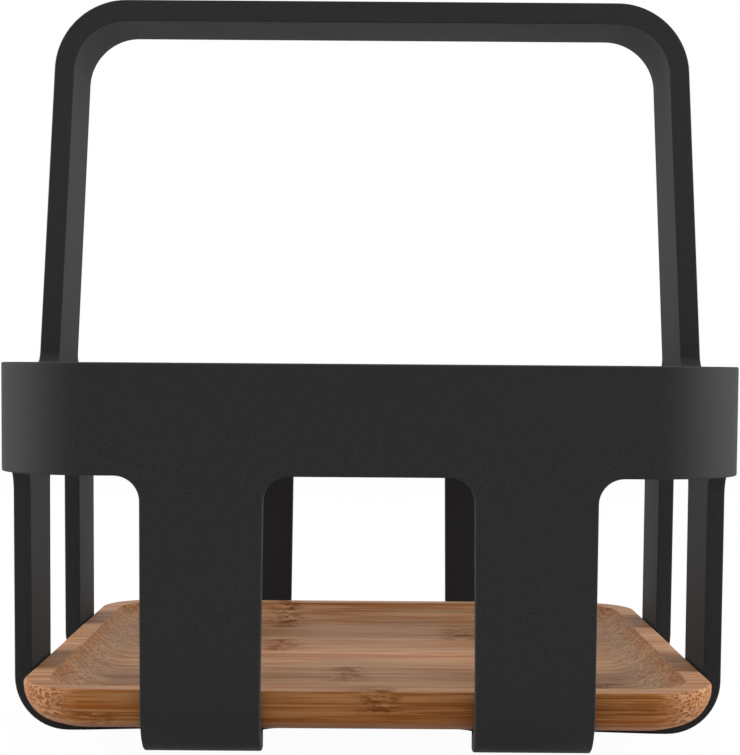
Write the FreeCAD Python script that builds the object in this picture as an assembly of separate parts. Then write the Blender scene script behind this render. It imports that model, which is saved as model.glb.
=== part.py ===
import FreeCAD
import Part
import math
import os

# Table caddy: a square open basket of flat straps hung from a deep band, a hoop
# handle seated in the band, and a loose wooden tray lying on the base lattice.
# Millimetres. +Z is up, the front is towards -Y, and the origin is on the table
# under the middle of the base.

V = FreeCAD.Vector
os.makedirs("parts", exist_ok=True)

# ---- basket ----
caddy_width = 180.0          # outside, across X, at the top of the band
caddy_depth = 180.0          # outside, across Y, at the top of the band
basket_height = 92.7         # table to the top of the band
band_height = 26.3
wall = 4.4                   # band, straps and base bars alike
wall_draft = 0.9             # degrees; the walls narrow downwards to leave the mould
corner_radius = 24.0         # upright corners of the band, outside
bend_radius = 13.6           # straps turning under the tray, outside
strap_spacing = 78.3         # between the centre lines of the two straps on a side
strap_top_width = 28.9       # where a strap leaves the band
strap_bend_width = 27.0      # round its bend
bar_width = 19.6             # base bars, between their crossings
taper_blend = 3.0            # length that eases each change in a strap's taper
strap_fillet = 6.0           # between strap and band
lattice_fillet = 6.0         # between crossing base bars
edge_break = 0.8             # chamfer on every edge that a hand can reach

# ---- handle ----
handle_rise = 99.0           # top of the band to the top of the hoop
leg_thickness = 5.4
grip_thickness = 5.8
leg_lean = 2.4               # degrees; the legs lean inwards
hoop_radius = 19.5           # top corners of the hoop, outside
foot_width = 32.2            # leg at the band, along Y
grip_width = 29.5            # the same at the top of the hoop
foot_flare = 3.0             # fillet between leg and band
foot_land = 0.6              # flat left at each end of the flare
seat_depth = 1.6             # foot sunk into the top edge of the band
tongue_width = 24.0
tongue_depth = 13.0          # below the seat
tongue_cheek = 1.0           # band left standing on each side of the tongue's slot
seat_clearance = 0.1         # round the foot's ends and the tongue

# ---- tray ----
tray_gap = 0.4               # to the straps, level with the top of their bends
tray_height = 11.3
tray_corner_radius = 17.5
rim_width = 5.8
rim_break = 0.6              # chamfer on the rim's outer edge
lip_break = 0.3              # chamfer where the rim breaks into the hollow
undercut_run = 9.0           # corner points of the curved underside
undercut_rise = 5.0
hollow_depth = 5.5
cove_radius = 16.0           # side of the hollow, from its floor up to the rim
floor_corner_radius = 2.0    # corners of the hollow's flat floor

# ---- sizes that follow ----
half_width = caddy_width / 2
half_depth = caddy_depth / 2
band_bottom = basket_height - band_height
draft_slope = math.tan(math.radians(wall_draft))
lean_slope = math.tan(math.radians(leg_lean))
strap_middle = strap_spacing / 2
seat_level = basket_height - seat_depth
hoop_top = basket_height + handle_rise
past = 2.0                   # how far a cutter runs on past what it cuts


# ---- outlines and prisms ----
def outline(corners, place):
    """Closed wire through (u, v, radius) corners, each rounded to its radius."""
    edges = []
    ends = []
    for index, (u, v, radius) in enumerate(corners):
        here = V(u, v, 0)
        back = (V(*corners[index - 1][:2], 0) - here).normalize()
        ahead = (V(*corners[(index + 1) % len(corners)][:2], 0) - here).normalize()
        if radius == 0:
            ends.append((here, here))
            continue
        half_angle = back.getAngle(ahead) / 2
        start = here + back * (radius / math.tan(half_angle))
        finish = here + ahead * (radius / math.tan(half_angle))
        middle = here + (back + ahead).normalize() * (radius / math.sin(half_angle) - radius)
        points = [place(point.x, point.y) for point in (start, middle, finish)]
        edges.append(Part.Arc(*points).toShape())
        ends.append((start, finish))
    for index in range(len(corners)):
        start = ends[index - 1][1]
        finish = ends[index][0]
        if start.distanceToPoint(finish) > 1e-6:
            edges.append(Part.makeLine(place(start.x, start.y), place(finish.x, finish.y)))
    return Part.Wire(Part.sortEdges(edges)[0])


def front_prism(corners, near, far):
    """Outline drawn in X and Z, pulled along Y from near to far."""
    return Part.Face(outline(corners, lambda u, v: V(u, near, v))).extrude(V(0, far - near, 0))


def side_prism(corners, near, far):
    """Outline drawn in Y and Z, pulled along X from near to far."""
    return Part.Face(outline(corners, lambda u, v: V(near, u, v))).extrude(V(far - near, 0, 0))


def plan_prism(corners, near, far):
    """Outline drawn in X and Y, pulled along Z from near to far."""
    return Part.Face(outline(corners, lambda u, v: V(u, v, near))).extrude(V(0, 0, far - near))


def mirrored(corners):
    """The same outline on the other side of its v axis."""
    return [(-u, v, radius) for u, v, radius in reversed(corners)]


def half_turned(corners):
    """The same outline turned half round the middle."""
    return [(-u, -v, radius) for u, v, radius in corners]


def quarter_turned(corners):
    """The same outline turned a quarter round the middle."""
    return [(-v, u, radius) for u, v, radius in corners]


def moulding(centre_x, centre_y, edge):
    """Solid whose (u, z, radius) edge runs round a rounded rectangle.

    u is measured outwards from the corner centres, at centre_x and centre_y from the middle.
    """
    def moved(reach):
        return [(reach + u, z, radius) for u, z, radius in edge]
    right = moved(centre_x)
    back = moved(centre_y)
    solid = front_prism(right + mirrored(right), -centre_y, centre_y)
    solid = solid.fuse(side_prism(back + mirrored(back), -centre_x, centre_x))
    half_section = edge + [(0, edge[-1][1], 0), (0, edge[0][1], 0)]
    section = Part.Face(outline(half_section, lambda u, v: V(u, 0, v)))
    for turn, (sign_x, sign_y) in enumerate(((1, 1), (-1, 1), (-1, -1), (1, -1))):
        corner = section.revolve(V(0, 0, 0), V(0, 0, 1), 90)
        corner.rotate(V(0, 0, 0), V(0, 0, 1), 90 * turn)
        corner.translate(V(sign_x * centre_x, sign_y * centre_y, 0))
        solid = solid.fuse(corner)
    return solid.removeSplitter()


def box(low, high):
    """Box between two opposite corners."""
    size = high - low
    return Part.makeBox(size.x, size.y, size.z, low)


# ---- basket ----
def wall_face(half, height, inset=0.0):
    """Distance from the middle to a wall's outer face, or to inset behind it, at a height."""
    return half - inset - (basket_height - height) * draft_slope


def flat_reach(half):
    """How far the flat of the base runs from the middle before the bend begins."""
    return wall_face(half, 0) - bend_radius * math.tan(math.radians(90 - wall_draft) / 2)


def tub(inset, floor, bend, top):
    """Drafted tub, inset from the basket's outside: conical corners, and a base bent up all round."""
    def reach(height):
        return corner_radius - inset - (basket_height - height) * draft_slope
    edge = [(reach(floor), floor, bend), (reach(top), top, 0)]
    return moulding(half_width - corner_radius, half_depth - corner_radius, edge)


def blend_radius(turn):
    """Radius that eases a small turn in an edge within the blend length."""
    return taper_blend / 2 / math.tan(turn / 2)


def wall_windows(half, prism):
    """The gap between the straps and the two gaps outside them, in both of a pair of walls."""
    top = strap_top_width / 2
    low = strap_bend_width / 2
    level = bend_radius + taper_blend
    ease = blend_radius(math.atan((top - low) / (band_bottom - level)))
    gap_edge = [
        (strap_middle - low, -past, 0),
        (strap_middle - low, level, ease),
        (strap_middle - top, band_bottom, strap_fillet)]
    outer_edge = [
        (strap_middle + top, band_bottom, strap_fillet),
        (strap_middle + low, level, ease),
        (strap_middle + low, -past, 0)]
    beyond = half_width + half_depth
    outside = outer_edge + [(beyond, -past, 0), (beyond, band_bottom, 0)]
    cutters = []
    for corners in (gap_edge + mirrored(gap_edge), outside, mirrored(outside)):
        for near, far in ((-half - past, -flat_reach(half)), (flat_reach(half), half + past)):
            cutters.append(prism(corners, near, far))
    return cutters


def bar_growth(reach):
    """How fast one edge of a base bar moves out, from the crossing to the bend."""
    return (strap_bend_width - bar_width) / 2 / (reach - taper_blend - strap_middle)


def window_beside(reach):
    """Base opening between two parallel bars, outside the bar that crosses them."""
    growth = bar_growth(reach)
    half_bar = bar_width / 2
    inner = strap_middle - half_bar * (1 + growth)
    bend = strap_middle - strap_bend_width / 2
    edge = [
        (inner, strap_middle + half_bar, lattice_fillet),
        (bend, reach - taper_blend, blend_radius(math.atan(growth))),
        (bend, reach, 0)]
    return edge + mirrored(edge)


def window_at_corner(reach_x, reach_y):
    """Base opening outside both bars at a corner of the lattice."""
    growth_x = bar_growth(reach_x)
    growth_y = bar_growth(reach_y)
    half_bar = bar_width / 2 / (1 - growth_x * growth_y)
    crossing_x = strap_middle + half_bar * (1 + growth_y)
    crossing_y = strap_middle + half_bar * (1 + growth_x)
    bend = strap_middle + strap_bend_width / 2
    return [
        (crossing_x, crossing_y, lattice_fillet),
        (reach_x - taper_blend, bend, blend_radius(math.atan(growth_x))),
        (reach_x, bend, 0),
        (reach_x, reach_y, 0),
        (bend, reach_y, 0),
        (bend, reach_y - taper_blend, blend_radius(math.atan(growth_y)))]


def base_windows():
    """All nine openings of the base lattice."""
    reach_x = flat_reach(half_width)
    reach_y = flat_reach(half_depth)
    half = strap_middle - bar_width / 2
    square = ((-half, -half), (half, -half), (half, half), (-half, half))
    middle = [(u, v, lattice_fillet) for u, v in square]
    corner = window_at_corner(reach_x, reach_y)
    outlines = [middle]
    beside = (window_beside(reach_y), quarter_turned(window_beside(reach_x)))
    for corners in (*beside, corner, mirrored(corner)):
        outlines.append(corners)
        outlines.append(half_turned(corners))
    return [plan_prism(corners, -past, wall + past) for corners in outlines]


def foot_half():
    """Half of the foot's length along the band, flare and land included."""
    return foot_width / 2 + foot_flare + foot_land


def tongue(side, grow):
    """Tongue under one foot, in the middle of the band's wall, grown on every side."""
    middle = side * (wall_face(half_width, seat_level - tongue_depth / 2) - wall / 2)
    half_thick = wall / 2 - tongue_cheek - seat_clearance + grow
    half_wide = tongue_width / 2 + grow
    low = V(middle - half_thick, -half_wide, seat_level - tongue_depth - grow)
    high = V(middle + half_thick, half_wide, basket_height)
    return box(low, high)


def seat(side):
    """What the band gives up for one foot: a shallow notch and the tongue's slot."""
    half_long = foot_half() + seat_clearance
    low = V(min(side * past, side * caddy_width), -half_long, seat_level)
    high = V(max(side * past, side * caddy_width), half_long, basket_height + past)
    return box(low, high).fuse(tongue(side, seat_clearance))


def make_basket():
    outside = tub(0, 0, bend_radius, basket_height)
    inside = tub(wall, wall, bend_radius - wall, basket_height + past)
    windows = wall_windows(half_depth, front_prism) + wall_windows(half_width, side_prism)
    basket = outside.cut(inside).cut(windows + base_windows()).removeSplitter().Solids[0]
    basket = basket.makeChamfer(edge_break, basket.Edges)
    for side in (-1, 1):
        basket = basket.cut(seat(side))
    return basket.Solids[0]


# ---- handle ----
def make_handle():
    def leg_face(height, inset=0.0):
        """Distance from the middle to a leg's outer face, or to inset behind it; the foot is flush."""
        foot = wall_face(half_width, seat_level)
        return foot - inset / math.cos(math.radians(leg_lean)) - (height - seat_level) * lean_slope
    underside = hoop_top - grip_thickness
    leg = [
        (leg_face(seat_level), seat_level, 0),
        (leg_face(hoop_top), hoop_top, hoop_radius)]
    inner = [
        (leg_face(underside, leg_thickness), underside, hoop_radius - leg_thickness),
        (leg_face(seat_level, leg_thickness), seat_level, 0)]
    hoop = front_prism(leg + mirrored(leg) + mirrored(inner) + inner, -foot_width, foot_width)
    flank = [
        (foot_half(), seat_level, 0),
        (foot_half(), basket_height, 0),
        (foot_width / 2, basket_height, foot_flare),
        (grip_width / 2, hoop_top, 0)]
    flanks = side_prism(flank + mirrored(flank), -caddy_width, caddy_width)
    handle = hoop.common(flanks).removeSplitter().Solids[0]

    def at_seat(edge):
        """True for the edges that lie on the seat or against its ends."""
        points = [vertex.Point for vertex in edge.Vertexes]
        on_floor = all(abs(point.z - seat_level) < 1e-4 for point in points)
        on_end = all(abs(abs(point.y) - foot_half()) < 1e-4 for point in points)
        return on_floor or on_end
    handle = handle.makeChamfer(edge_break, [edge for edge in handle.Edges if not at_seat(edge)])
    for side in (-1, 1):
        handle = handle.fuse(tongue(side, 0)).removeSplitter()
    return handle.Solids[0]


# ---- tray ----
def make_tray():
    half_x = wall_face(half_width, bend_radius, wall) - tray_gap
    half_y = wall_face(half_depth, bend_radius, wall) - tray_gap
    floor = wall
    rim = wall + tray_height

    # the underside turns up in two tangent arcs, a wide one and then a tighter one
    slant = math.hypot(undercut_run, undercut_rise)
    first_turn = math.atan(undercut_rise / undercut_run)
    second_turn = math.pi / 2 - first_turn
    edge = [
        (tray_corner_radius - undercut_run, floor, slant / 2 / math.tan(first_turn / 2)),
        (tray_corner_radius, floor + undercut_rise, slant / 2 / math.tan(second_turn / 2)),
        (tray_corner_radius, rim - rim_break, 0),
        (tray_corner_radius - rim_break, rim, 0)]
    body = moulding(half_x - tray_corner_radius, half_y - tray_corner_radius, edge)

    # the hollow's side is one arc, tangent to the floor and cut off by the rim
    sweep = math.acos(1 - hollow_depth / cove_radius)
    cove_run = cove_radius * math.sin(sweep)
    lip = floor_corner_radius + cove_run
    cove = [
        (floor_corner_radius + cove_radius * math.tan(sweep / 2), rim - hollow_depth, cove_radius),
        (lip + past / math.tan(sweep), rim + past, 0)]
    hollow = moulding(half_x - rim_width - lip, half_y - rim_width - lip, cove)
    tray = body.cut(hollow).removeSplitter().Solids[0]

    def at_lip(edge):
        """True for the edges where the rim breaks into the hollow."""
        bounds = edge.BoundBox
        inside = max(abs(bounds.XMin), abs(bounds.XMax)) < half_x - rim_width + 1e-3
        return inside and abs(bounds.ZMin - rim) < 1e-3
    return tray.makeChamfer(lip_break, [edge for edge in tray.Edges if at_lip(edge)])


pieces = {
    "basket": make_basket(),
    "carry_handle": make_handle(),
    "bamboo_tray": make_tray()}
for name, shape in pieces.items():
    shape.exportStep("parts/" + name + ".step")
    print(name, "solids", len(shape.Solids), "valid", shape.isValid(), "volume", round(shape.Volume))
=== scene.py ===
import math

import bmesh
import bpy
from bpy.props import FloatProperty, FloatVectorProperty, IntProperty, PointerProperty
from bpy.types import Operator, Panel, PropertyGroup
from mathutils import Matrix, Vector


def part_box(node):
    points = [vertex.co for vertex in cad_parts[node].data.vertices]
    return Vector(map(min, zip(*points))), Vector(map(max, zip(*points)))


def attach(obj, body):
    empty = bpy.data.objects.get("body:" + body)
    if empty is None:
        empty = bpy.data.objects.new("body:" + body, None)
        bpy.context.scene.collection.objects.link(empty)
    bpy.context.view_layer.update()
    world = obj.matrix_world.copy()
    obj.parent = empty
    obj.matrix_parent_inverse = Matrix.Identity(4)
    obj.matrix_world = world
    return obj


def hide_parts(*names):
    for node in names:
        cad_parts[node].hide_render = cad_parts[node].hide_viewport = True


bl_info = {
    "name": "Condiment caddy",
    "version": (1, 0, 0),
    "blender": (4, 5, 0),
    "location": "View3D > Sidebar > Caddy",
    "description": "A moulded strap basket with a carrying hoop and a lift-out bamboo tray",
    "category": "Add Mesh",
}

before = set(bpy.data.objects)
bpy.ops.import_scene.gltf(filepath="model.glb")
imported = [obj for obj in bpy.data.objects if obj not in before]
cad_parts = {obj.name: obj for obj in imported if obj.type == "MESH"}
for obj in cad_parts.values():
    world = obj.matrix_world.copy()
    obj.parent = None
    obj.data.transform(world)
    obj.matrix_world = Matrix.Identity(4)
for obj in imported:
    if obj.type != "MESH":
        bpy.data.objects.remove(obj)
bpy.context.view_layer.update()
_, basket_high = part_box("basket")
_, hoop_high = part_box("carry_handle")
tray_low, tray_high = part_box("bamboo_tray")

MM = 0.001
QUARTER = math.pi / 2
MERGE = 0.01 * MM            # points nearer than this are one
SHARP = math.radians(50)     # edges that turn more than this are rounded
CREASE = math.radians(30)    # edges that turn more than this don't shade smoothly
UP = Vector((0, 0, 1))


# ---------------------------------------------------------------- settings

def length(name, description, millimetres):
    """A length that a user may change, given in millimetres and kept in metres."""
    return FloatProperty(
        name=name, description=description, default=millimetres * MM, min=0, unit="LENGTH", precision=4)


def angle(name, description, degrees):
    """An angle that a user may change."""
    return FloatProperty(name=name, description=description, default=math.radians(degrees), unit="ROTATION")


def amount(name, description, value):
    """A plain number that a user may change."""
    return FloatProperty(name=name, description=description, default=value, min=0)


def steps(name, description, value):
    """How many straight runs stand for a round one."""
    return IntProperty(name=name, description=description, default=value, min=1)


def colour(name, description, value):
    """A linear colour that a user may change."""
    return FloatVectorProperty(
        name=name, description=description, default=value, size=3, min=0, max=1, subtype="COLOR")


class BasketSizes(PropertyGroup):
    """Sizes of the strap basket; its width, depth and height are the frame's."""
    band_height: length("Band height", "Height of the closed band round the top", 26.3)
    wall: length("Wall", "Thickness of band, straps and base bars", 4.4)
    draft: angle("Draft", "Lean of the walls, which narrow downwards", 0.7)
    corner_radius: length("Corner radius", "Upright corners of the band, outside, at the top", 24.0)
    bend_radius: length("Bend radius", "Straps turning under the tray, outside", 13.6)
    strap_spacing: length("Strap spacing", "Between the centre lines of the two straps on a side", 78.3)
    strap_top_width: length("Strap width, top", "Where a strap leaves the band", 28.9)
    strap_bend_width: length("Strap width, bend", "Round its bend", 28.0)
    bar_width: length("Base bar width", "Between the crossings of the base bars", 19.6)
    taper_blend: length("Taper blend", "Length that eases a change in a strap's taper", 3.0)
    fillet: length("Fillet", "Between strap and band, and between crossing bars", 6.0)
    edge_round: length("Edge round", "Rounding of every edge", 0.4)
    bend_steps: steps("Bend steps", "Runs in the bend of a strap", 14)
    corner_steps: steps("Corner steps", "Runs round a corner of the band", 20)
    fillet_steps: steps("Fillet steps", "Runs in a fillet", 9)
    round_steps: steps("Round steps", "Runs across a rounded edge", 4)


class HoopSizes(PropertyGroup):
    """Sizes of the carrying hoop; its height is the frame's."""
    leg_thickness: length("Leg thickness", "Thickness of the legs", 5.4)
    grip_thickness: length("Grip thickness", "Thickness of the bar across the top", 5.8)
    leg_lean: angle("Leg lean", "Inward lean of the legs", 2.4)
    corner_radius: length("Corner radius", "Top corners of the hoop, outside", 19.5)
    foot_width: length("Foot width", "Width of a leg at the band", 32.2)
    grip_width: length("Grip width", "Width of the hoop at its top", 29.5)
    foot_flare: length("Foot flare", "Fillet between leg and band", 3.0)
    foot_land: length("Foot land", "Flat left at each end of the flare", 0.6)
    seat_depth: length("Seat depth", "How deep a foot sits in the band's top edge", 1.6)
    seat_clearance: length("Seat clearance", "Gap at each end of a foot", 0.1)
    edge_round: length("Edge round", "Rounding of every edge", 0.4)
    corner_steps: steps("Corner steps", "Runs round a top corner", 20)
    flare_steps: steps("Flare steps", "Runs in the flare of a foot", 6)
    round_steps: steps("Round steps", "Runs across a rounded edge", 4)


class TraySizes(PropertyGroup):
    """Sizes of the bamboo tray; its width, depth and height are the frame's."""
    corner_radius: length("Corner radius", "Upright corners, outside", 17.5)
    rim_width: length("Rim width", "Flat rim round the hollow", 5.8)
    rim_round: length("Rim round", "Outer edge of the rim", 0.6)
    lip_round: length("Lip round", "Where the rim breaks into the hollow", 0.45)
    undercut_run: length("Undercut run", "How far in the curved underside starts", 9.0)
    undercut_rise: length("Undercut rise", "How high the underside's lower corner point is", 5.0)
    hollow_depth: length("Hollow depth", "From the rim down to the floor", 5.5)
    cove_radius: length("Cove radius", "Side of the hollow, up from its floor", 16.0)
    floor_corner: length("Floor corner", "Upright corners of the flat floor", 2.0)
    corner_steps: steps("Corner steps", "Runs round a corner", 20)
    arc_steps: steps("Arc steps", "Runs in each arc of the section", 7)


class MouldingFinish(PropertyGroup):
    """Black matt plastic with the fine grain of an eroded mould."""
    tone: colour("Tone", "Colour of the plastic", (0.0222, 0.0222, 0.0224))
    grain: length("Grain", "Size of the mould's grain", 0.42)
    grain_depth: length("Grain depth", "Height of the grain", 0.03)
    roughness: amount("Roughness", "Mean roughness", 0.64)


class BambooFinish(PropertyGroup):
    """Laminated, steamed and oiled bamboo, with its fibres along X."""
    pale: colour("Pale", "Lightest fibres", (0.33, 0.148, 0.052))
    tan: colour("Tan", "Ground of the wood", (0.22, 0.064, 0.006))
    brown: colour("Brown", "Dark fibres and cut fibre bundles", (0.125, 0.034, 0.0025))
    node_brown: colour("Node brown", "Dashes of a growth node", (0.12, 0.033, 0.003))
    # painted sheen: faces that look up take this pale colour in place of the haze of light glancing off
    # them; faces across the grain take some of it too
    sheen_and_cut_pale: colour("Dry", "Sanded faces that look up, and the cut grain of the coves", (0.35, 0.272, 0.202))
    glue: colour("Glue", "Line between two strips", (0.42, 0.25, 0.14))
    strip_width: length("Strip width", "Width of a laminated strip", 24.5)
    strip_shift: length("Strip shift", "From the tray's middle forwards to an edge between strips", 38.3)
    layer_height: length("Layer height", "Thickness of a layer of strips", 5.65)
    bundle: length("Bundle", "Distance between fibre bundles", 0.85)
    node_length: length("Node length", "Half the length of a growth node's mark", 8.0)
    roughness: amount("Roughness", "Mean roughness", 0.62)


class StageSettings(PropertyGroup):
    """Camera, light and floor."""
    camera_distance: length("Camera distance", "From the middle of the caddy", 523.0)
    camera_height: length("Camera height", "Above the table", 93.06)
    camera_lens: FloatProperty(name="Lens", description="Focal length in millimetres", default=90.68, min=1)
    camera_roll: angle("Camera roll", "Turn about the line of sight", 0.41)
    camera_shift: FloatProperty(name="Shift", description="Vertical shift of the lens", default=-0.0196)
    floor_gap: length("Floor gap", "How far the floor lies below the feet", 0.1)
    sky: amount("Sky", "Strength of the even light from all round", 0.2)
    top_light: amount("Top light", "Power of the panel overhead, in watts", 10.2)
    left_light: amount("Left light", "Power of the panel on the left, in watts", 16.5)
    right_light: amount("Right light", "Power of the panel on the right, in watts", 19.0)


# ---------------------------------------------------------------- mesh helpers

def wire(bm, corners, place, runs, closed=True):
    """Edges through (u, v, radius) corners, each rounded to its radius; returns all its edges."""
    before = set(bm.edges)
    points = [bm.verts.new(place(u, v)) for u, v, _ in corners]
    for index in range(len(points) if closed else len(points) - 1):
        bm.edges.new((points[index], points[(index + 1) % len(points)]))
    for index, (u, v, radius) in enumerate(corners):
        if radius == 0:
            continue
        here = Vector((u, v))
        back = Vector(corners[index - 1][:2]) - here
        ahead = Vector(corners[(index + 1) % len(corners)][:2]) - here
        tangent = radius / math.tan(back.angle(ahead) / 2)
        bmesh.ops.bevel(
            bm, geom=[points[index]], offset=tangent, offset_type="OFFSET", segments=runs, profile=0.5,
            affect="VERTICES", clamp_overlap=False, material=-1)
    return [edge for edge in bm.edges if edge not in before]


def points_of(parts):
    """The points of some edges or faces, each once and always in the same order."""
    return list(dict.fromkeys(vert for part in parts for vert in part.verts))


def mirrored(corners):
    """The same corners on the other side of the v axis, in the other order."""
    return [(-u, v, radius) for u, v, radius in reversed(corners)]


def blend_radius(blend, turn):
    """Radius that eases a small turn in an edge within the blend length."""
    return blend / 2 / math.tan(turn / 2)


def round_edges(bm, edges, radius, runs):
    """Rounds edges between faces."""
    bmesh.ops.bevel(
        bm, geom=edges, offset=radius, offset_type="OFFSET", segments=runs, profile=0.5,
        affect="EDGES", clamp_overlap=False, material=-1)


def is_sharp(edge, turn=SHARP):
    """True where two faces meet at more than that turn."""
    return len(edge.link_faces) == 2 and edge.calc_face_angle() > turn


def finish_piece(bm, name, body, node, material):
    """Makes the mesh an object that stands for a node, rides on its body and shades smoothly."""
    bmesh.ops.recalc_face_normals(bm, faces=bm.faces)
    for face in bm.faces:
        face.smooth = True
    for edge in bm.edges:
        edge.smooth = not is_sharp(edge, CREASE)
    mesh = bpy.data.meshes.new(name)
    bm.to_mesh(mesh)
    bm.free()
    mesh.materials.append(bpy.data.materials[material])
    piece = bpy.data.objects.new(name, mesh)
    bpy.context.scene.collection.objects.link(piece)
    shading = piece.modifiers.new("Even shading", "WEIGHTED_NORMAL")
    shading.weight = 90
    shading.keep_sharp = True
    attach(piece, body)
    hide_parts(node)


# ---------------------------------------------------------------- node helpers

def new_material(name):
    """An empty node material with its principled shader; returns the material and the shader node."""
    material = bpy.data.materials.new(name)
    material.use_nodes = True
    return material, material.node_tree.nodes["Principled BSDF"]


def add_node(tree, kind, settings=(), **inputs):
    """Adds a shader node; inputs are numbers, colours or other nodes' sockets, by input name."""
    made = tree.nodes.new("ShaderNode" + kind)
    for key, value in dict(settings).items():
        setattr(made, key, value)
    for key, value in inputs.items():
        socket = made.inputs[int(key[1:])] if key[0] == "i" and key[1:].isdigit() else made.inputs[key]
        if isinstance(value, bpy.types.NodeSocket):
            tree.links.new(value, socket)
        else:
            socket.default_value = value
    return made


def maths(tree, operation, first, second=0.0, third=0.0):
    """The socket of one sum of numbers or sockets."""
    made = add_node(tree, "Math", {"operation": operation}, i0=first, i1=second, i2=third)
    return made.outputs[0]


def scaled(tree, coordinates, factors):
    """Coordinates times a factor each way."""
    made = add_node(tree, "Mapping", i0=coordinates, i3=factors)
    return made.outputs[0]


def noise(tree, coordinates, per_metre, detail, roughness):
    """Noise that changes so often per metre, one number for each way."""
    made = add_node(
        tree, "TexNoise", Vector=scaled(tree, coordinates, per_metre), Scale=1.0, Detail=detail,
        Roughness=roughness)
    return made.outputs["Fac"]


def weighed(tree, value, weight):
    """How far a noise is from its middle, times a weight."""
    return maths(tree, "MULTIPLY", maths(tree, "SUBTRACT", value, 0.5), weight)


def mixed(tree, factor, first, second):
    """One colour blended with another."""
    made = add_node(tree, "Mix", {"data_type": "RGBA", "blend_type": "MIX", "clamp_factor": True})
    for index, value in ((0, factor), (6, first), (7, second)):
        if isinstance(value, bpy.types.NodeSocket):
            tree.links.new(value, made.inputs[index])
        else:
            made.inputs[index].default_value = value
    return made.outputs[2]


def smooth_step(tree, value, low, high, to_low=0.0, to_high=1.0):
    """Value eased from to_low to to_high between low and high."""
    made = add_node(
        tree, "MapRange", {"interpolation_type": "SMOOTHSTEP"},
        i0=value, i1=low, i2=high, i3=to_low, i4=to_high)
    return made.outputs[0]


def by_chance(tree, chance, least, most):
    """A chance value from nought to one, brought between least and most."""
    return smooth_step(tree, chance, 0.0, 1.0, least, most)


def chosen(tree, factor, first, second):
    """The first number where the factor is nought, the second where it is one."""
    made = add_node(tree, "Mix", {"data_type": "FLOAT"}, i0=factor, i2=first, i3=second)
    return made.outputs[0]


def opaque(rgb):
    """A colour with its alpha."""
    return (*rgb, 1.0)


# ---------------------------------------------------------------- finishes

MOTTLE = 0.12                # how far the plastic's tone strays either way
CLOUD_SIZE = 30 * MM         # patches of more and of less gloss


def moulding_material(finish):
    """Black plastic: one tone, with the even grain of the mould in its bump and gloss."""
    material, shader = new_material("matt_black")
    tree = material.node_tree
    place = tree.nodes.new("ShaderNodeTexCoord").outputs["Object"]
    grain = add_node(tree, "TexNoise", Vector=place, Scale=1 / finish.grain, Detail=3.0, Roughness=0.6)
    height = grain.outputs["Fac"]
    bump = add_node(tree, "Bump", Strength=0.55, Distance=finish.grain_depth, Height=height)
    tree.links.new(bump.outputs[0], shader.inputs["Normal"])
    dark = opaque([value * (1 - MOTTLE) for value in finish.tone])
    pale = opaque([value * (1 + MOTTLE) for value in finish.tone])
    speck = smooth_step(tree, height, 0.35, 0.65)
    tree.links.new(mixed(tree, speck, dark, pale), shader.inputs["Base Color"])
    cloud = add_node(tree, "TexNoise", Vector=place, Scale=1 / CLOUD_SIZE, Detail=2.0)
    rough = maths(tree, "MULTIPLY_ADD", cloud.outputs["Fac"], 0.08, finish.roughness - 0.04)
    tree.links.new(rough, shader.inputs["Roughness"])
    shader.inputs["Specular IOR Level"].default_value = 0.055
    return material


LAYER_KEY = 20.0             # more than the strips of a layer, so that each strip has its own key

# some of the strips: number (counted back from the middle), layer, growth node along X in mm, tone, streaks
STRIPS = (
    (-2, 1, 3.0, 1.03, 1.6),
    (-2, 0, -64.6, 1.03, 0.5),
    (-1, 1, 61.0, 1.06, 0.5),
    (0, 1, -5.5, 0.97, 0.9),
    (1, 1, 150.0, 1.06, 0.7),
    (2, 1, -25.0, 1.0, 0.8),
    (3, 1, 28.0, 0.97, 0.8),
    (4, 1, -26.0, 0.94, 1.1),
    (5, 1, 44.0, 0.95, 1.0),
    (2, 0, 40.0, 1.03, 0.8),
)

# noises in the bamboo: changes per metre along, across and up, then detail and roughness
FINE = ((5, 170, 420), 5.0, 0.72)
HAIR = ((14, 480, 1300), 3.0, 0.8)
GRIT = ((34, 430, 700), 3.0, 0.7)
DARK = ((7, 120, 300), 4.0, 0.6)
THIN = ((12, 420, 1300), 2.0, 0.5)
DASHES = ((170, 320, 1100), 4.0, 0.8)


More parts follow.
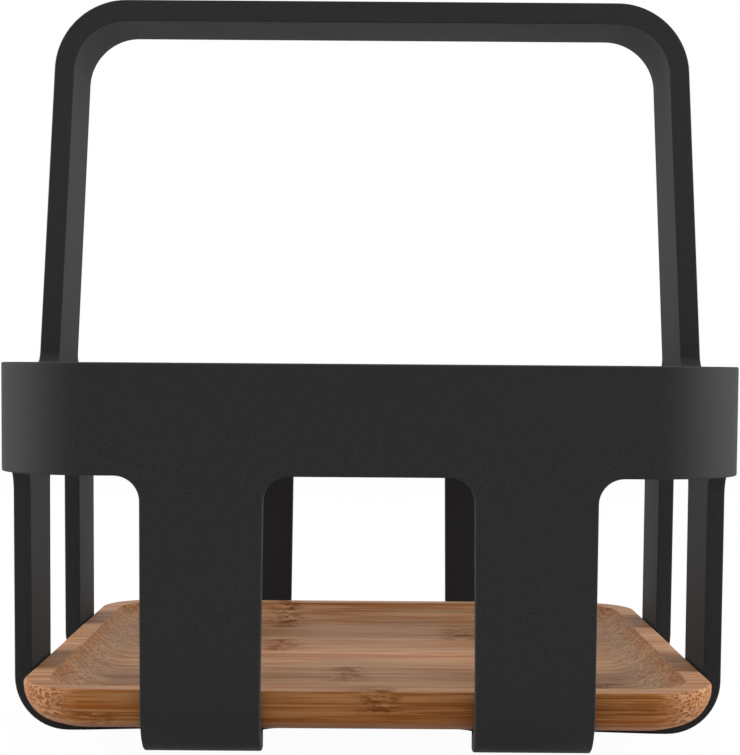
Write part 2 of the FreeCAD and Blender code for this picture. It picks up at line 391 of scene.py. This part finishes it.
def bamboo_material(finish):
    """Laminated bamboo: strips along X in two layers, each with its own tone, fibres and growth node."""
    material, shader = new_material("laminated_bamboo")
    tree = material.node_tree
    coordinates = tree.nodes.new("ShaderNodeTexCoord")
    place = coordinates.outputs["Object"]

    # which strip and layer a point is in, and a chance value for it
    along, across, height = add_node(tree, "SeparateXYZ", Vector=place).outputs
    strips = maths(tree, "DIVIDE", maths(tree, "ADD", across, finish.strip_shift), finish.strip_width)
    strip = maths(tree, "FLOOR", strips)
    layers = maths(tree, "DIVIDE", maths(tree, "SUBTRACT", height, tray_low.z), finish.layer_height)
    key = maths(tree, "MULTIPLY_ADD", maths(tree, "FLOOR", layers), LAYER_KEY, strip)
    chance = add_node(tree, "TexWhiteNoise", {"noise_dimensions": "1D"}, W=key)
    moved = add_node(
        tree, "VectorMath", {"operation": "MULTIPLY_ADD"},
        i0=chance.outputs["Color"], i1=(3.0, 3.0, 3.0), i2=place)
    own = moved.outputs[0]

    # each strip's growth node, tone and streaks, where one is not given by the list
    shades = add_node(tree, "SeparateColor", Color=chance.outputs["Color"]).outputs
    where = by_chance(tree, shades[0], -0.6, 0.6)
    tone = by_chance(tree, chance.outputs["Value"], 0.88, 1.12)
    streaky = by_chance(tree, shades[1], 0.5, 1.2)
    for number, level, mm, lightness, streakiness in STRIPS:
        here = maths(tree, "COMPARE", key, number + LAYER_KEY * level, 0.5)
        where = chosen(tree, here, where, mm * MM)
        tone = chosen(tree, here, tone, lightness)
        streaky = chosen(tree, here, streaky, streakiness)

    # where the grain is cut across, at the ends and on the coves
    facing = add_node(tree, "SeparateXYZ", Vector=coordinates.outputs["Normal"])
    looks_along, _, looks_up = facing.outputs
    cut = smooth_step(tree, maths(tree, "ABSOLUTE", looks_along), 0.08, 0.5)
    up = smooth_step(tree, looks_up, 0.55, 0.97)

    # fibres: broad, thin and short lines of pale and tan, darker streaks, and brown threads, all long in X
    fine = noise(tree, own, *FINE)
    lines = maths(tree, "ADD", weighed(tree, fine, 0.8), weighed(tree, noise(tree, own, *HAIR), 1.7))
    lines = maths(tree, "ADD", lines, weighed(tree, noise(tree, own, *GRIT), 1.2))
    lines = smooth_step(tree, lines, -0.24, 0.24)
    streaks = smooth_step(tree, noise(tree, own, *DARK), 0.48, 0.66, 0.0, 0.7)
    threads = smooth_step(tree, noise(tree, own, *THIN), 0.58, 0.66, 0.0, 0.8)
    wood = mixed(tree, lines, opaque(finish.tan), opaque(finish.pale))
    stain = maths(tree, "MAXIMUM", streaks, threads)
    stain = maths(tree, "MULTIPLY", stain, maths(tree, "MULTIPLY_ADD", cut, -0.7, 1.0))
    # on faces that look up the streaks are fainter: part of the painted sheen, whose haze thins their
    # contrast
    stain = maths(tree, "MULTIPLY", stain, smooth_step(tree, up, 0.0, 1.0, 1.0, 0.7))
    stain = maths(tree, "MULTIPLY", stain, streaky)
    wood = mixed(tree, stain, wood, opaque(finish.brown))

    # faces that look up are paler: painted sheen, standing in for the haze of light glancing off them;
    # faces across the grain are paler too, and the coves most of all
    sheen_and_cut_mix = maths(tree, "MULTIPLY_ADD", lines, 0.2, smooth_step(tree, cut, 0.0, 1.0, 0.2, 0.37))
    sheen_and_cut_mix = maths(tree, "MULTIPLY", up, sheen_and_cut_mix)
    sheen_and_cut_mix = maths(tree, "MAXIMUM", sheen_and_cut_mix, maths(tree, "MULTIPLY", cut, 0.17))
    wood = mixed(tree, sheen_and_cut_mix, wood, opaque(finish.sheen_and_cut_pale))

    # fibre bundles: dots where the grain is cut across, coarser in some strips than in others
    per_bundle = 1 / finish.bundle
    bundles = add_node(
        tree, "TexVoronoi", {"voronoi_dimensions": "3D", "feature": "F1"},
        Vector=scaled(tree, own, (per_bundle / 2.5, per_bundle, per_bundle)), Randomness=1.0,
        Scale=by_chance(tree, shades[2], 0.75, 1.35))
    apart = maths(tree, "MULTIPLY", bundles.outputs["Distance"], smooth_step(tree, up, 0.0, 1.0, 0.9, 1.25))
    dots = smooth_step(tree, apart, 0.3, 0.5, 1.0, 0.0)
    strength = smooth_step(tree, cut, 0.0, 1.0, 0.0, 0.9)
    wood = mixed(tree, maths(tree, "MULTIPLY", dots, strength), wood, opaque(finish.brown))

    # growth nodes: a patch of short dark and pale dashes in a strip
    away = maths(tree, "ABSOLUTE", maths(tree, "SUBTRACT", along, where))
    patch = smooth_step(tree, away, 0.1 * finish.node_length, finish.node_length, 1.0, 0.0)
    dashes = noise(tree, own, *DASHES)
    marks = smooth_step(tree, dashes, 0.46, 0.56, 0.0, 0.95)
    flecks = smooth_step(tree, dashes, 0.44, 0.34, 0.0, 0.5)
    wood = mixed(tree, maths(tree, "MULTIPLY", patch, marks), wood, opaque(finish.node_brown))
    wood = mixed(tree, maths(tree, "MULTIPLY", patch, flecks), wood, opaque(finish.glue))

    # the glue line between strips
    beside = maths(tree, "ABSOLUTE", maths(tree, "SUBTRACT", strips, maths(tree, "ROUND", strips)))
    line = smooth_step(tree, beside, 0.008, 0.03, 0.5, 0.0)
    wood = mixed(tree, line, wood, opaque(finish.glue))
    tinted = add_node(tree, "VectorMath", {"operation": "SCALE"}, i0=wood, Scale=tone)
    tree.links.new(tinted.outputs[0], shader.inputs["Base Color"])

    gloss = maths(tree, "MULTIPLY_ADD", fine, 0.12, finish.roughness - 0.06)
    tree.links.new(gloss, shader.inputs["Roughness"])
    shader.inputs["Specular IOR Level"].default_value = 0.12
    bump = add_node(tree, "Bump", Strength=0.25, Distance=0.1 * MM, Height=fine)
    tree.links.new(bump.outputs[0], shader.inputs["Normal"])
    return material


# ---------------------------------------------------------------- basket

class CADDY_OT_basket(Operator):
    """Model the strap basket: cut flat, folded up, its corners spun, thickened and rounded"""
    bl_idname = "caddy.basket"
    bl_label = "Strap basket"

    def execute(self, context):
        size = context.scene.caddy_basket
        hoop = context.scene.caddy_hoop
        bm = bmesh.new()
        half = basket_high.x
        top = basket_high.z
        slope = math.tan(size.draft)
        middle = size.strap_spacing / 2
        turn = QUARTER - size.draft
        reach = half - top * slope - size.bend_radius * math.tan(turn / 2)
        bend_end = reach + size.bend_radius * turn
        bend_top = size.bend_radius * (1 - math.cos(turn))

        def flat(height):
            """Distance from the middle, in the flat pattern, of a height on the wall."""
            return bend_end + (height - bend_top) / math.sin(turn)

        def side(number):
            """Place of (u, out) on one side of the flat pattern; side 0 is the front."""
            turned = Matrix.Rotation(QUARTER * number, 3, "Z")
            return lambda u, out: turned @ Vector((u, -out, 0))

        band_bottom = top - size.band_height
        level = size.bend_radius + size.taper_blend
        wide = size.strap_top_width / 2
        narrow = size.strap_bend_width / 2
        bar = size.bar_width / 2
        end = half - size.corner_radius
        growth = (narrow - bar) / (reach - size.taper_blend - middle)
        strap_ease = blend_radius(size.taper_blend, math.atan((wide - narrow) / (band_bottom - level)))
        bar_ease = blend_radius(size.taper_blend, math.atan(growth))
        crossing = middle + bar / (1 - growth)
        strap_out = [
            (middle + narrow, reach - size.taper_blend, bar_ease),
            (middle + narrow, flat(level), strap_ease),
            (middle + wide, flat(band_bottom), size.fillet),
            (end, flat(band_bottom), 0),
            (end, flat(top), 0)]
        strap_in = [
            (middle - bar * (1 + growth), middle + bar, size.fillet),
            (middle - narrow, reach - size.taper_blend, bar_ease),
            (middle - narrow, flat(level), strap_ease),
            (middle - wide, flat(band_bottom), size.fillet)]
        notch_half = hoop.foot_width / 2 + hoop.foot_flare + hoop.foot_land + hoop.seat_clearance
        notch = [
            (notch_half, flat(top), 0),
            (notch_half, flat(top - hoop.seat_depth), 0)]

        # outlines of the flat pattern: all round, the four walls' windows and the middle one
        corners = []
        for number in range(4):
            place = side(number)
            right = strap_out + (notch if number % 2 else [])
            left = [(-u, out, radius) for u, out, radius in right]
            outline = left + right[::-1]
            corners += [(*place(-crossing, crossing)[:2], size.fillet)]
            corners += [(*place(u, out)[:2], radius) for u, out, radius in outline]
        wire(bm, corners, lambda x, y: (x, y, 0), size.fillet_steps)
        for number in range(4):
            wire(bm, strap_in + mirrored(strap_in), side(number), size.fillet_steps)
        gap = middle - bar
        square = [(-gap, -gap, size.fillet), (gap, -gap, size.fillet),
                  (gap, gap, size.fillet), (-gap, gap, size.fillet)]
        wire(bm, square, lambda x, y: (x, y, 0), size.fillet_steps)
        bmesh.ops.triangle_fill(bm, use_beauty=True, use_dissolve=False, edges=bm.edges[:])

        # fold up each side, after a cut across it at every run of the bend
        nearly = MERGE / 10
        for number in range(4):
            outward = side(number)(0, 1)
            for run in range(size.bend_steps + 1):
                distance = reach + (bend_end - reach) * run / size.bend_steps
                bmesh.ops.bisect_plane(
                    bm, geom=bm.verts[:] + bm.edges[:] + bm.faces[:], dist=nearly,
                    plane_co=outward * distance, plane_no=outward)
            for vert in bm.verts:
                out = vert.co.dot(outward)
                if out <= reach + nearly:
                    continue
                bent = min(out, bend_end) - reach
                rest = max(out - bend_end, 0)
                turned = bent / size.bend_radius
                folded = reach + size.bend_radius * math.sin(turned) + rest * math.cos(turn)
                vert.co += outward * (folded - out)
                vert.co.z = size.bend_radius * (1 - math.cos(turned)) + rest * math.sin(turn)

        # the band's corners are cones, spun from the end of one wall to the next
        for number in range(4):
            place = side(number)
            outward = place(0, 1)
            sideways = place(1, 0)

            def at_end(vert):
                """True for the points where a wall meets its corner."""
                return abs(vert.co.dot(sideways) - end) < MERGE and vert.co.dot(outward) > end

            ends = [edge for edge in bm.edges if at_end(edge.verts[0]) and at_end(edge.verts[1])]
            ends = [edge for edge in ends if abs(edge.verts[0].co.z - edge.verts[1].co.z) > MERGE]
            bmesh.ops.spin(
                bm, geom=points_of(ends) + ends, cent=place(end, end), axis=UP, angle=QUARTER,
                steps=size.corner_steps, use_merge=False, use_duplicate=False)
        bmesh.ops.remove_doubles(bm, verts=bm.verts[:], dist=MERGE)
        bmesh.ops.dissolve_limit(
            bm, angle_limit=math.radians(0.5), use_dissolve_boundaries=False, verts=bm.verts[:],
            edges=bm.edges[:])
        bmesh.ops.recalc_face_normals(bm, faces=bm.faces)
        base = min(bm.faces, key=lambda face: face.calc_center_median().z)
        if base.normal.z > 0:
            bmesh.ops.reverse_faces(bm, faces=bm.faces)

        # the wall goes inwards, and its edges are rounded but for those in the feet's seats
        bmesh.ops.solidify(bm, geom=bm.faces[:], thickness=size.wall)

        def in_notch(vert):
            """True for the points of a foot's seat."""
            near = abs(vert.co.y) < notch_half + MERGE and vert.co.z > top - hoop.seat_depth - MERGE
            return near and abs(vert.co.x) > end

        sharp = [edge for edge in bm.edges if is_sharp(edge) and not all(map(in_notch, edge.verts))]
        round_edges(bm, sharp, size.edge_round, size.round_steps)
        finish_piece(bm, "strap_basket", "frame", "basket", "matt_black")
        return {"FINISHED"}


# ---------------------------------------------------------------- hoop

class CADDY_OT_carry_handle(Operator):
    """Model the carrying hoop: its front outline pulled out, tapered, flared at its feet and rounded"""
    bl_idname = "caddy.carry_handle"
    bl_label = "Carrying hoop"

    def execute(self, context):
        size = context.scene.caddy_hoop
        basket = context.scene.caddy_basket
        bm = bmesh.new()
        band_top = basket_high.z
        top = hoop_high.z
        seat = band_top - size.seat_depth
        slope = math.tan(size.leg_lean)
        flush = basket_high.x - size.seat_depth * math.tan(basket.draft)

        def leg_face(height, inset=0.0):
            """Distance from the middle to a leg's outer face, or to inset behind it."""
            return flush - inset / math.cos(size.leg_lean) - (height - seat) * slope

        underside = top - size.grip_thickness
        outer = [
            (leg_face(band_top), band_top, 0),
            (leg_face(top), top, size.corner_radius)]
        inner = [
            (leg_face(underside, size.leg_thickness), underside, size.corner_radius - size.leg_thickness),
            (leg_face(band_top, size.leg_thickness), band_top, 0)]
        outline = outer + mirrored(outer) + mirrored(inner) + inner
        # for now Y runs from -1 to 1, to be multiplied by half the width that belongs to each height
        edges = wire(bm, outline, lambda x, z: (x, -1.0, z), size.corner_steps)
        bmesh.ops.contextual_create(bm, geom=edges)
        pulled = bmesh.ops.extrude_face_region(bm, geom=bm.faces[:], use_keep_orig=True)
        moved = [item for item in pulled["geom"] if isinstance(item, bmesh.types.BMVert)]
        bmesh.ops.translate(bm, verts=moved, vec=(0, 2.0, 0))

        # the flare: cuts across the legs just above the band, each drawn out to its arc
        for run in range(1, size.flare_steps + 1):
            height = band_top + size.foot_flare * (1 - math.cos(QUARTER * run / size.flare_steps))
            bmesh.ops.bisect_plane(
                bm, geom=bm.verts[:] + bm.edges[:] + bm.faces[:], dist=MERGE / 10,
                plane_co=(0, 0, height), plane_no=UP)
        taper = (size.foot_width - size.grip_width) / 2 / (top - band_top)
        for vert in bm.verts:
            above = vert.co.z - band_top
            half_width = size.foot_width / 2 - above * taper
            if above < size.foot_flare:
                rise = 1 - above / size.foot_flare
                half_width += size.foot_flare * (1 - math.sqrt(max(1 - rise * rise, 0)))
            vert.co.y *= half_width

        # the foot: a land, then down to the seat
        def at_band(vert):
            """True for the points level with the band's top."""
            return abs(vert.co.z - band_top) < MERGE

        soles = [face for face in bm.faces if all(map(at_band, face.verts))]
        foot_half = size.foot_width / 2 + size.foot_flare + size.foot_land
        for down in (0, size.seat_depth):
            pulled = bmesh.ops.extrude_discrete_faces(bm, faces=soles)
            soles = pulled["faces"]
            for vert in points_of(soles):
                vert.co.y = math.copysign(foot_half, vert.co.y)
                vert.co.z -= down
                vert.co.x += math.copysign(down * slope, vert.co.x)

        # along the leg the land has no width: those faces join the seat's
        def at_foot_end(vert):
            """True for the points at the two ends of a foot."""
            return abs(vert.co.y) > foot_half - MERGE

        joins = [
            edge for edge in bm.edges
            if all(at_band(vert) and at_foot_end(vert) for vert in edge.verts)
            and edge.verts[0].co.y * edge.verts[1].co.y < 0]
        bmesh.ops.dissolve_edges(bm, edges=joins, use_verts=False)
        bmesh.ops.recalc_face_normals(bm, faces=bm.faces)

        def in_seat(edge):
            """True for the edges below the band's top, and across the end of the land."""
            highest = max(vert.co.z for vert in edge.verts)
            across_end = all(map(at_foot_end, edge.verts))
            return highest < band_top + MERGE and (across_end or highest < band_top - MERGE)

        sharp = [edge for edge in bm.edges if is_sharp(edge) and not in_seat(edge)]
        round_edges(bm, sharp, size.edge_round, size.round_steps)
        finish_piece(bm, "carrying_hoop", "frame", "carry_handle", "matt_black")
        return {"FINISHED"}


# ---------------------------------------------------------------- tray

COVE_SHARE = 0.96            # of the cove's radius, which leaves the lip room for its own rounding


def drawn_ring(bm, section, centre, arc_runs, corner_runs):
    """Draws an open section of (u, z, radius) corners round a rounded square.

    The centres of the square's corners are at plus and minus centre, and u runs outwards from them.
    """
    edges = wire(bm, section, lambda u, z: (centre + u, centre, z), arc_runs, closed=False)
    chain = edges + points_of(edges)
    for number in range(4):
        turned = Matrix.Rotation(QUARTER * number, 3, "Z")
        spun = bmesh.ops.spin(
            bm, geom=chain, cent=turned @ Vector((centre, centre, 0)), axis=UP, angle=QUARTER,
            steps=corner_runs, use_merge=False, use_duplicate=False)
        drawn = bmesh.ops.extrude_edge_only(
            bm, edges=[item for item in spun["geom_last"] if isinstance(item, bmesh.types.BMEdge)])
        moved = [item for item in drawn["geom"] if isinstance(item, bmesh.types.BMVert)]
        bmesh.ops.translate(bm, verts=moved, vec=turned @ Vector((-2 * centre, 0, 0)))
        drawn_edges = [item for item in drawn["geom"] if isinstance(item, bmesh.types.BMEdge)]
        chain = moved + [edge for edge in drawn_edges if all(vert in moved for vert in edge.verts)]
    bmesh.ops.remove_doubles(bm, verts=bm.verts[:], dist=MERGE)


class CADDY_OT_bamboo_tray(Operator):
    """Model the bamboo tray: its outside and its hollow drawn round as sections, and joined at the rim"""
    bl_idname = "caddy.bamboo_tray"
    bl_label = "Bamboo tray"

    def execute(self, context):
        size = context.scene.caddy_tray
        bm = bmesh.new()
        radius = size.corner_radius
        bottom = tray_low.z
        rim = tray_high.z
        slant = math.hypot(size.undercut_run, size.undercut_rise)
        first_turn = math.atan(size.undercut_rise / size.undercut_run)
        second_turn = QUARTER - first_turn
        outside = [
            (radius - size.undercut_run - slant / 2, bottom, 0),
            (radius - size.undercut_run, bottom, slant / 2 / math.tan(first_turn / 2)),
            (radius, bottom + size.undercut_rise, slant / 2 / math.tan(second_turn / 2)),
            (radius, rim, size.rim_round),
            (radius - 2 * size.rim_round, rim, 0)]
        drawn_ring(bm, outside, tray_high.x - radius, size.arc_steps, size.corner_steps)

        # the side of the hollow is one arc, tangent to the floor and cut off by the rim
        sweep = math.acos(1 - size.hollow_depth / size.cove_radius)
        lip = size.floor_corner + size.cove_radius * math.sin(sweep)
        foot = size.floor_corner + size.cove_radius * math.tan(sweep / 2)
        floor = rim - size.hollow_depth
        hollow = [
            (lip + 2 * size.lip_round, rim, 0),
            (lip, rim, size.lip_round),
            (foot, floor, COVE_SHARE * size.cove_radius),
            (size.floor_corner, floor, 0)]
        drawn_ring(bm, hollow, tray_high.x - size.rim_width - lip, size.arc_steps, size.corner_steps)

        open_edges = [edge for edge in bm.edges if edge.is_boundary]
        rim_edges = [edge for edge in open_edges if edge.verts[0].co.z > rim - MERGE]
        bmesh.ops.triangle_fill(bm, use_beauty=True, use_dissolve=False, edges=rim_edges)

        # what is still open is the flat floor and the flat underside
        bmesh.ops.holes_fill(bm, edges=[edge for edge in bm.edges if edge.is_boundary], sides=0)
        finish_piece(bm, "lift_out_tray", "tray", "bamboo_tray", "laminated_bamboo")
        return {"FINISHED"}


# ---------------------------------------------------------------- finishes and stage

class CADDY_OT_finishes(Operator):
    """Make the black moulding and bamboo materials"""
    bl_idname = "caddy.finishes"
    bl_label = "Finishes"

    def execute(self, context):
        moulding_material(context.scene.caddy_moulding)
        bamboo_material(context.scene.caddy_bamboo)
        return {"FINISHED"}


def panel_light(name, power, width, place, target):
    """A square softbox that faces a point."""
    lamp = bpy.data.lights.new(name, "AREA")
    lamp.energy = power
    lamp.size = width
    panel = bpy.data.objects.new(name, lamp)
    panel.location = place
    panel.rotation_euler = (Vector(target) - Vector(place)).to_track_quat("-Z", "Y").to_euler()
    bpy.context.scene.collection.objects.link(panel)


def seen_directly(tree):
    """1 for what the camera sees, straight or in a mirror or through glass."""
    path = tree.nodes.new("ShaderNodeLightPath")
    seen = maths(tree, "MAXIMUM", path.outputs["Is Camera Ray"], path.outputs["Is Glossy Ray"])
    return maths(tree, "MAXIMUM", seen, path.outputs["Is Transmission Ray"])


class CADDY_OT_stage(Operator):
    """Set the camera, the soft lights, the white surround and the pale floor"""
    bl_idname = "caddy.stage"
    bl_label = "Stage"

    def execute(self, context):
        scene = context.scene
        stage = scene.caddy_stage
        scene.view_settings.view_transform = "Standard"

        camera = bpy.data.objects.new("camera", bpy.data.cameras.new("camera"))
        camera.data.sensor_fit = "HORIZONTAL"
        camera.data.lens = stage.camera_lens
        camera.data.shift_y = stage.camera_shift
        camera.location = (0, -stage.camera_distance, stage.camera_height)
        camera.rotation_euler = (QUARTER, -stage.camera_roll, 0)
        scene.collection.objects.link(camera)
        scene.camera = camera

        # places and widths of the panels are in metres
        middle = (0, 0, 0.09)
        panel_light("top_panel", stage.top_light, 1.2, (0, 0.1, 1.3), middle)
        panel_light("left_panel", stage.left_light, 0.6, (-1.0, -0.1, 0.38), middle)
        panel_light("right_panel", stage.right_light, 0.6, (1.0, -0.1, 0.38), middle)

        world = bpy.data.worlds.new("surround")
        world.use_nodes = True
        tree = world.node_tree
        sky = tree.nodes["Background"]
        seen = seen_directly(tree)
        strength = maths(tree, "MULTIPLY_ADD", seen, 1 - stage.sky, stage.sky)
        tree.links.new(strength, sky.inputs["Strength"])
        sky.inputs["Color"].default_value = (1, 1, 1, 1)
        scene.world = world

        bm = bmesh.new()
        bmesh.ops.create_grid(bm, x_segments=1, y_segments=1, size=6.0)
        bmesh.ops.translate(bm, verts=bm.verts[:], vec=(0, 0, -stage.floor_gap))
        mesh = bpy.data.meshes.new("floor")
        bm.to_mesh(mesh)
        bm.free()
        floor = bpy.data.objects.new("floor", mesh)
        scene.collection.objects.link(floor)
        material, shader = new_material("pale_floor")
        tree = material.node_tree
        shader.inputs["Base Color"].default_value = (0.82, 0.82, 0.82, 1)
        shader.inputs["Roughness"].default_value = 0.9
        glow = add_node(tree, "Emission", Color=(1, 1, 1, 1), Strength=1.0)
        shaded = add_node(
            tree, "MixShader", i0=maths(tree, "MULTIPLY", seen_directly(tree), 0.97),
            i1=shader.outputs[0], i2=glow.outputs[0])
        tree.links.new(shaded.outputs[0], tree.nodes["Material Output"].inputs["Surface"])
        mesh.materials.append(material)
        return {"FINISHED"}


# ---------------------------------------------------------------- panel and run

OPERATORS = (
    CADDY_OT_finishes, CADDY_OT_basket, CADDY_OT_carry_handle, CADDY_OT_bamboo_tray, CADDY_OT_stage)
SETTINGS = {
    "caddy_basket": BasketSizes,
    "caddy_hoop": HoopSizes,
    "caddy_tray": TraySizes,
    "caddy_moulding": MouldingFinish,
    "caddy_bamboo": BambooFinish,
    "caddy_stage": StageSettings,
}


class CADDY_PT_panel(Panel):
    """Lists the caddy's pieces and their settings"""
    bl_idname = "CADDY_PT_panel"
    bl_label = "Condiment caddy"
    bl_space_type = "VIEW_3D"
    bl_region_type = "UI"
    bl_category = "Caddy"

    def draw(self, context):
        for operator in OPERATORS:
            self.layout.operator(operator.bl_idname)
        for name, group in SETTINGS.items():
            box = self.layout.box()
            box.label(text=group.__doc__.split(";")[0])
            for prop in group.__annotations__:
                box.prop(getattr(context.scene, name), prop)


CLASSES = (*SETTINGS.values(), *OPERATORS, CADDY_PT_panel)


def register():
    """Registers the classes and hangs the settings on the scene."""
    for item in CLASSES:
        bpy.utils.register_class(item)
    for name, group in SETTINGS.items():
        setattr(bpy.types.Scene, name, PointerProperty(type=group))


def unregister():
    """Takes them away again."""
    for name in SETTINGS:
        delattr(bpy.types.Scene, name)
    for item in reversed(CLASSES):
        bpy.utils.unregister_class(item)


def main():
    """Makes the caddy and its stage."""
    register()
    bpy.ops.caddy.finishes()
    bpy.ops.caddy.basket()
    bpy.ops.caddy.carry_handle()
    bpy.ops.caddy.bamboo_tray()
    bpy.ops.caddy.stage()


if __name__ == "__main__":
    main()
